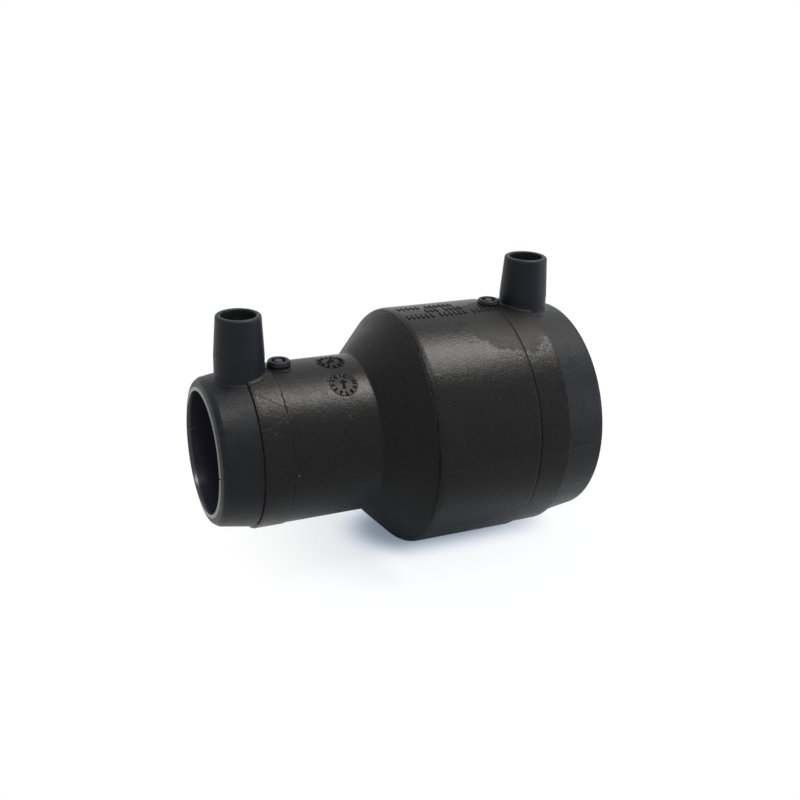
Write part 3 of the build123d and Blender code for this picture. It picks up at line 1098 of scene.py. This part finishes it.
def ring_mesh(inner, outer, columns=48):
    """A flat ring, or a disc if its inner radius is nothing."""
    points, faces = [], []
    for radius in (inner, outer):
        if radius == 0:
            points.append((0.0, 0.0, 0.0))
        else:
            points.extend((radius * cos(turn), radius * sin(turn), 0.0) for turn in turns(columns))
    for column in range(columns):
        beside = (column + 1) % columns
        if inner == 0:
            faces.append((0, 1 + column, 1 + beside))
        else:
            faces.append((column, columns + column, columns + beside, beside))
    return filled_mesh("ring", points, faces)


def flat_mesh(points):
    """One flat face through these points."""
    return filled_mesh("plate", [(x, y, 0.0) for x, y in points], [list(range(len(points)))])


def wrapped_at(angle, height, surface_radius):
    """A function that lays flat points on the barrel: x runs along the axis, y round it."""

    def wrap(point, level):
        radius = surface_radius + level
        return on_barrel(angle - point.y / surface_radius, radius, height + point.x)

    return wrap


class Trim:
    """Small forms that are pressed up from a barrel and make one piece."""

    def __init__(self, name):
        self.name = name
        self.points = []
        self.faces = []
        self.slots = []

    def press(self, mesh, wrap, low, high, transform=None, slot=0):
        """Adds a flat mesh as a solid from one level to another, wrapped on the barrel."""
        start = len(self.points)
        top = start + len(mesh.vertices)
        flat = [transform @ vertex.co if transform else vertex.co for vertex in mesh.vertices]
        for level in (low, high):
            self.points.extend(wrap(point, level) for point in flat)
        used = {}
        for polygon in mesh.polygons:
            ring = list(polygon.vertices)
            self.faces.append([top + index for index in ring])
            self.faces.append([start + index for index in reversed(ring)])
            for first, second in zip(ring, ring[1:] + ring[:1]):
                key = (min(first, second), max(first, second))
                used.setdefault(key, []).append((first, second))
        for pairs in used.values():
            if len(pairs) == 1:
                first, second = pairs[0]
                self.faces.append([start + first, start + second, top + second, top + first])
        self.slots.extend([slot] * (len(self.faces) - len(self.slots)))

    def finish(self, materials):
        """Makes the piece, which rides on the moulding."""
        mesh = filled_mesh(self.name, self.points, self.faces)
        piece = new_piece(self.name, mesh, materials)
        for polygon, slot in zip(mesh.polygons, self.slots):
            polygon.material_index = slot
        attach(piece, FITTING)


def scratch_line(along):
    """How far the scratch runs off the axis, a slant with a slight wave in it."""
    return along * 0.66 + 0.25 * MM * sin(along / (1.6 * MM))


def pointer_mesh(dial):
    """The arrow in the middle of a dial."""
    half = dial.radius * 0.1
    barb = half * 2.6
    tail = -dial.radius * 0.4
    neck = dial.radius * 0.08
    tip = dial.radius * 0.42
    return flat_mesh([
        (-half, tail),
        (half, tail),
        (half, neck),
        (barb, neck),
        (0.0, tip),
        (-barb, neck),
        (-half, neck),
    ])


class REDUCER_OT_moulding(bpy.types.Operator):
    """Make the black moulding: barrels, cone, bores, shrouds and indicator bosses"""

    bl_idname = "reducer.moulding"
    bl_label = "Moulding"

    def execute(self, context):
        scene = context.scene
        barrel, shroud, indicator = scene.reducer_barrel, scene.reducer_shroud, scene.reducer_indicator
        finishes = build_finishes(scene.reducer_finish)
        radius_at = barrel_surface(barrel)
        shell = new_piece("moulding", shell_mesh(barrel))
        face_outwards(shell.data)
        terminals = (("large", shroud.large_top), ("small", shroud.small_top))
        added = []
        posts = []
        for name, top in terminals:
            place = MOUNTS[name + "_terminal"]["pos_m"][2]
            profile = shroud_profile(shroud, top, radius_at(place) + SHROUD_START)
            post = standing_post(name + "_shroud", place, profile, shroud.root, shroud.skirt, radius_at)
            added.append(post)
            posts.append((place, shroud.foot_radius + shroud.skirt))
        cutters = []
        for name, top in (("large_indicator", indicator.large_top), ("small_indicator", indicator.small_top)):
            low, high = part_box(name + "_pin")
            place = (low.z + high.z) / 2
            profile = boss_profile(indicator, top, radius_at(place))
            boss = standing_post(name + "_boss", place, profile, BOSS_ROOT, indicator.skirt, radius_at, 64)
            added.append(boss)
            cutters.append(indicator_cutter(name, indicator, place, top, low.x))
            posts.append((place, indicator.waist_radius + indicator.skirt))
        combine(shell, added, "UNION")
        combine(shell, cutters, "DIFFERENCE")
        mesh = shell.data
        for key in ZONE_FINISHES:
            mesh.materials.append(finishes[key])
        for polygon in mesh.polygons:
            polygon.material_index = zone_of(polygon.center, polygon.normal, barrel, posts, radius_at)
        soften(mesh)
        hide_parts("fitting_body")
        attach(shell, FITTING)
        return {"FINISHED"}


class REDUCER_OT_dials(bpy.types.Operator):
    """Press two round date dials with plain numbers up from the small barrel"""

    bl_idname = "reducer.dials"
    bl_label = "Date dials"

    def execute(self, context):
        scene = context.scene
        barrel, dial = scene.reducer_barrel, scene.reducer_dial
        finishes = build_finishes(scene.reducer_finish)
        number_ring = dial.radius - dial.digit * 0.68
        shade_rim_width = dial.digit * 0.16
        shade_rim_relief = dial.bed * 0.5
        for name, angle, pointer in DIALS:
            wrap = wrapped_at(angle, dial.height_from_end, barrel.small_radius)
            trim = Trim(name)
            for index, turn in enumerate(turns(DIAL_NUMBERS)):
                digits = text_mesh(str(index + 1), dial.digit)
                transform = Matrix.Rotation(-turn, 4, "Z") @ Matrix.Translation((0.0, number_ring, 0.0))
                trim.press(digits, wrap, 0.0, dial.relief, transform)
                bpy.data.meshes.remove(digits)
            trim.press(pointer_mesh(dial), wrap, 0.0, dial.relief, Matrix.Rotation(pointer, 4, "Z"))
            # A low ring round each dial's bed in the dark digit black: a small real step, darkened as painted
            # shade for the shadow at the bed's edge
            trim.press(ring_mesh(dial.radius, dial.radius + shade_rim_width), wrap, 0.0, shade_rim_relief)
            trim.press(ring_mesh(0.0, dial.radius), wrap, SUNK, dial.bed, slot=1)
            trim.finish([finishes["digits"], finishes["dial"]])
        return {"FINISHED"}


class REDUCER_OT_marks(bpy.types.Operator):
    """Press plain bars up from the large barrel, and add the gate's stub and a fine scratch"""

    bl_idname = "reducer.marks"
    bl_label = "Bars and moulding marks"

    def execute(self, context):
        scene = context.scene
        barrel, mark = scene.reducer_barrel, scene.reducer_mark
        finishes = build_finishes(scene.reducer_finish)
        half = mark.bar_width / 2
        tall = mark.bar_height / 2
        bar = flat_mesh([(-half, -tall), (half, -tall), (half, tall), (-half, tall)])
        first_bar = barrel.shoulder_height - barrel.shoulder_round * 0.6
        trim = Trim("plain_bars")
        for row, (indent, bar_groups) in enumerate(BAR_ROWS):
            angle = TOP_BAR_ROW + row * mark.row_pitch / barrel.large_radius
            height = first_bar - indent * mark.bar_pitch
            for count in bar_groups:
                for _ in range(count):
                    trim.press(bar, wrapped_at(angle, height, barrel.large_radius), SUNK, mark.relief)
                    height -= mark.bar_pitch
                height -= mark.bar_pitch
        trim.finish([finishes["barrel"]])
        trim = Trim("moulding_traces")
        stub = ring_mesh(0.0, mark.gate_radius, 20)
        trim.press(stub, wrapped_at(*GATE_PLACE, barrel.small_radius), SUNK, GATE_RELIEF)
        course = [Vector((along, scratch_line(along))) for along in SCRATCH_STEPS]
        wide = Vector((-mark.scratch_width, mark.scratch_width)) * 0.35
        lower = [point - wide for point in course]
        upper = [point + wide for point in reversed(course)]
        wrap = wrapped_at(*SCRATCH_PLACE, barrel.small_ring_radius)
        trim.press(flat_mesh(lower + upper), wrap, SUNK, SCRATCH_RELIEF, slot=1)
        trim.finish([finishes["gate"], finishes["digits"]])
        return {"FINISHED"}


class REDUCER_OT_inserts(bpy.types.Operator):
    """Finish the brass contact pins, the sealed wire and the indicator pins"""

    bl_idname = "reducer.inserts"
    bl_label = "Pins and wire"

    def execute(self, context):
        finishes = build_finishes(context.scene.reducer_finish)
        for node, finish in (
            ("large_terminal_pin", "brass"),
            ("small_terminal_pin", "brass"),
            ("heating_wire", "wire"),
            ("large_indicator_pin", "indicator"),
            ("small_indicator_pin", "indicator"),
        ):
            mesh = frame["nodes"][node].data
            mesh.materials.clear()
            mesh.materials.append(finishes[finish])
        return {"FINISHED"}


def soft_lamp(name, place, target, width, power, tint):
    """A square area lamp that looks at a point."""
    lamp = bpy.data.lights.new(name, "AREA")
    lamp.shape = "SQUARE"
    lamp.size = width
    lamp.energy = power
    lamp.color = tint
    holder = bpy.data.objects.new(name, lamp)
    aim = (target - place).to_track_quat("-Z", "Y").to_matrix().to_4x4()
    holder.matrix_world = Matrix.Translation(place) @ aim
    bpy.context.scene.collection.objects.link(holder)


def set_lamps(stage):
    """A soft lamp overhead, a small one over the mouth and a cool one low at the side."""
    middle = Vector((0.0, 0.0, LENGTH / 2))
    mouth = Vector((0.0, 0.0, LENGTH))
    overhead = middle + Vector((0.918, -0.048, -0.392)) * 1.25
    over_mouth = mouth + Vector((0.95, -0.25, 0.10)) * 0.9
    beside = Vector((0.10, -0.35, -0.75))
    soft_lamp("key", overhead, middle, 0.5, stage.key_power, stage.key_tint)
    soft_lamp("front", over_mouth, mouth, 0.2, stage.front_power, stage.front_tint)
    soft_lamp("side", beside, middle, 0.35, stage.side_power, stage.side_tint)


def set_white_room(level):
    """A world that is white to look at and lights the part softly."""
    world = bpy.data.worlds.new("studio")
    world.use_nodes = True
    tree = world.node_tree
    background = tree.nodes["Background"]
    background.inputs["Color"].default_value = (1.0, 1.0, 1.0, 1.0)
    rays = add_node(tree, "ShaderNodeLightPath").outputs
    seen = largest(tree, rays["Is Camera Ray"], rays["Is Glossy Ray"], rays["Is Transmission Ray"])
    tree.links.new(remap(tree, seen, 0.0, 1.0, level, 1.0), background.inputs["Strength"])
    bpy.context.scene.world = world


def off_contact(tree, place, contact, half_contact):
    """How far a place on the table lies off the line where the large barrel rests.

    contact is the middle of that line, and half_contact is half its length.
    """
    beside = vector_step(tree, "SUBTRACT", place, contact)
    beside = vector_step(tree, "ABSOLUTE", beside)
    beside = vector_step(tree, "SUBTRACT", beside, (0.0, 0.0, half_contact))
    beside = vector_step(tree, "MAXIMUM", beside, (0.0, 0.0, 0.0))
    beside = vector_step(tree, "MULTIPLY", beside, SHADE_STEEPNESS)
    return vector_step(tree, "LENGTH", beside)


def mixed_shaders(tree, by, first, second):
    """Goes over from one shader's output to another's by a mask."""
    mix = add_node(tree, "ShaderNodeMixShader")
    for socket, output in zip(mix.inputs, (by, first, second)):
        tree.links.new(output, socket)
    return mix.outputs[0]


def table_material(stage, centre, contact, half_contact):
    """A pale table that fades out to the white room, and can't be seen from behind.

    Its plain white glow gives way to its own shade near the line where the large barrel rests, tinted
    there by a pale blue painted shade in the glow, and a little under the small barrel.
    """
    material, tree, shader = new_material("pale_table", roughness=0.9, specular_ior_level=0.0)
    shader.inputs["Base Color"].default_value = opaque(stage.table)
    place = object_place(tree)
    off_line = off_contact(tree, place, contact, half_contact)
    open_floor = remap(tree, off_line, *SHADE_REACH)
    # The glow is plain white in the open and a pale blue painted shade near the contact line
    glow = add_node(tree, "ShaderNodeEmission")
    tree.links.new(blend_colours(tree, SHADE_TINT, OPEN_TINT, open_floor), glow.inputs["Color"])
    # Painted shade beside the small barrel: less of the white glow there
    painted_shade_small = remap(tree, axis_parts(tree, place)["Z"], *SMALL_SHADE, 1.0, SMALL_SHADE_GLOW)
    share_of_glow = remap(tree, open_floor, 0.0, 1.0, SHADE_GLOW, stage.table_glow)
    share_of_glow = times(tree, share_of_glow, painted_shade_small)
    rays = add_node(tree, "ShaderNodeLightPath").outputs
    mirrored = times(tree, rays["Is Glossy Ray"], remap(tree, off_line, *MIRROR_REACH))
    seen = largest(tree, mirrored, rays["Is Camera Ray"], rays["Is Transmission Ray"])
    lit = mixed_shaders(tree, times(tree, seen, share_of_glow), shader.outputs[0], glow.outputs[0])
    away = vector_step(tree, "DISTANCE", place, centre)
    near = remap(tree, away, stage.table_radius * 0.2, stage.table_radius, 1.0, 0.0)
    front = minus(tree, 1.0, add_node(tree, "ShaderNodeNewGeometry").outputs["Backfacing"])
    clear = add_node(tree, "ShaderNodeBsdfTransparent")
    look = mixed_shaders(tree, times(tree, near, front), clear.outputs[0], lit)
    tree.links.new(look, tree.nodes["Material Output"].inputs["Surface"])
    return material


def set_table(stage, barrel):
    """An upright table just off the large barrel, on the side away from the shrouds."""
    level = BODY_LOW.x - stage.table_gap
    middle = Vector((level, 0.0, barrel.shoulder_height * 0.8))
    reach = stage.table_radius
    corners = [
        (level, across * reach, middle.z + along * reach)
        for across, along in ((-1, -1), (1, -1), (1, 1), (-1, 1))
    ]
    contact = Vector((level, 0.0, (barrel.large_tip_height + barrel.shoulder_height) / 2))
    half_contact = (barrel.shoulder_height - barrel.large_tip_height) / 2 - barrel.shoulder_round / 2
    material = table_material(stage, middle, contact, half_contact)
    table = new_piece("table", filled_mesh("table", corners, [(0, 1, 2, 3)]), [material])


def camera_matrix():
    """Where the photograph was taken from, with the shrouds upwards."""
    forward = CAMERA_FORWARD.normalized()
    right = forward.cross(CAMERA_UP).normalized()
    up = right.cross(forward)
    turned = Matrix((right, up, -forward)).transposed().to_4x4()
    turned.translation = CAMERA_PLACE
    return turned


def set_camera(scene, stage):
    """A camera at the photograph's viewing angle."""
    lens = bpy.data.cameras.new("camera")
    lens.lens = stage.lens
    lens.sensor_width = 36.0
    lens.clip_start = 10 * MM
    camera = bpy.data.objects.new("camera", lens)
    camera.matrix_world = camera_matrix()
    scene.collection.objects.link(camera)
    scene.camera = camera


class REDUCER_OT_stage(bpy.types.Operator):
    """Set the table, the lamps, the white room and the camera"""

    bl_idname = "reducer.stage"
    bl_label = "Stage"

    def execute(self, context):
        scene = context.scene
        stage = scene.reducer_stage
        set_table(stage, scene.reducer_barrel)
        set_white_room(stage.room_light)
        set_lamps(stage)
        set_camera(scene, stage)
        scene.view_settings.view_transform = "Standard"
        return {"FINISHED"}


SETTINGS = {
    "reducer_barrel": BarrelSettings,
    "reducer_shroud": ShroudSettings,
    "reducer_indicator": IndicatorSettings,
    "reducer_dial": DialSettings,
    "reducer_mark": MarkSettings,
    "reducer_finish": FinishSettings,
    "reducer_stage": StageSettings,
}
OPERATORS = (
    REDUCER_OT_moulding,
    REDUCER_OT_dials,
    REDUCER_OT_marks,
    REDUCER_OT_inserts,
    REDUCER_OT_stage,
)


class REDUCER_PT_panel(bpy.types.Panel):
    """Sizes, finishes and steps of the reducer"""

    bl_label = "Reducer"
    bl_idname = "REDUCER_PT_panel"
    bl_space_type = "VIEW_3D"
    bl_region_type = "UI"
    bl_category = "Reducer"

    def draw(self, context):
        for operator in OPERATORS:
            self.layout.operator(operator.bl_idname)
        for key, group in SETTINGS.items():
            box = self.layout.box()
            box.label(text=group.__name__.replace("Settings", ""))
            for name in group.__annotations__:
                box.prop(getattr(context.scene, key), name)


CLASSES = (*SETTINGS.values(), *OPERATORS, REDUCER_PT_panel)


def register():
    """Make the classes and the scene's settings known."""
    for entry in CLASSES:
        bpy.utils.register_class(entry)
    for key, group in SETTINGS.items():
        setattr(bpy.types.Scene, key, PointerProperty(type=group))


def unregister():
    """Take the settings and the classes away again."""
    for key in SETTINGS:
        delattr(bpy.types.Scene, key)
    for entry in reversed(CLASSES):
        bpy.utils.unregister_class(entry)


def main():
    """Build everything in order."""
    register()
    bpy.ops.reducer.moulding()
    bpy.ops.reducer.dials()
    bpy.ops.reducer.marks()
    bpy.ops.reducer.inserts()
    bpy.ops.reducer.stage()


if __name__ == "__main__":
    main()
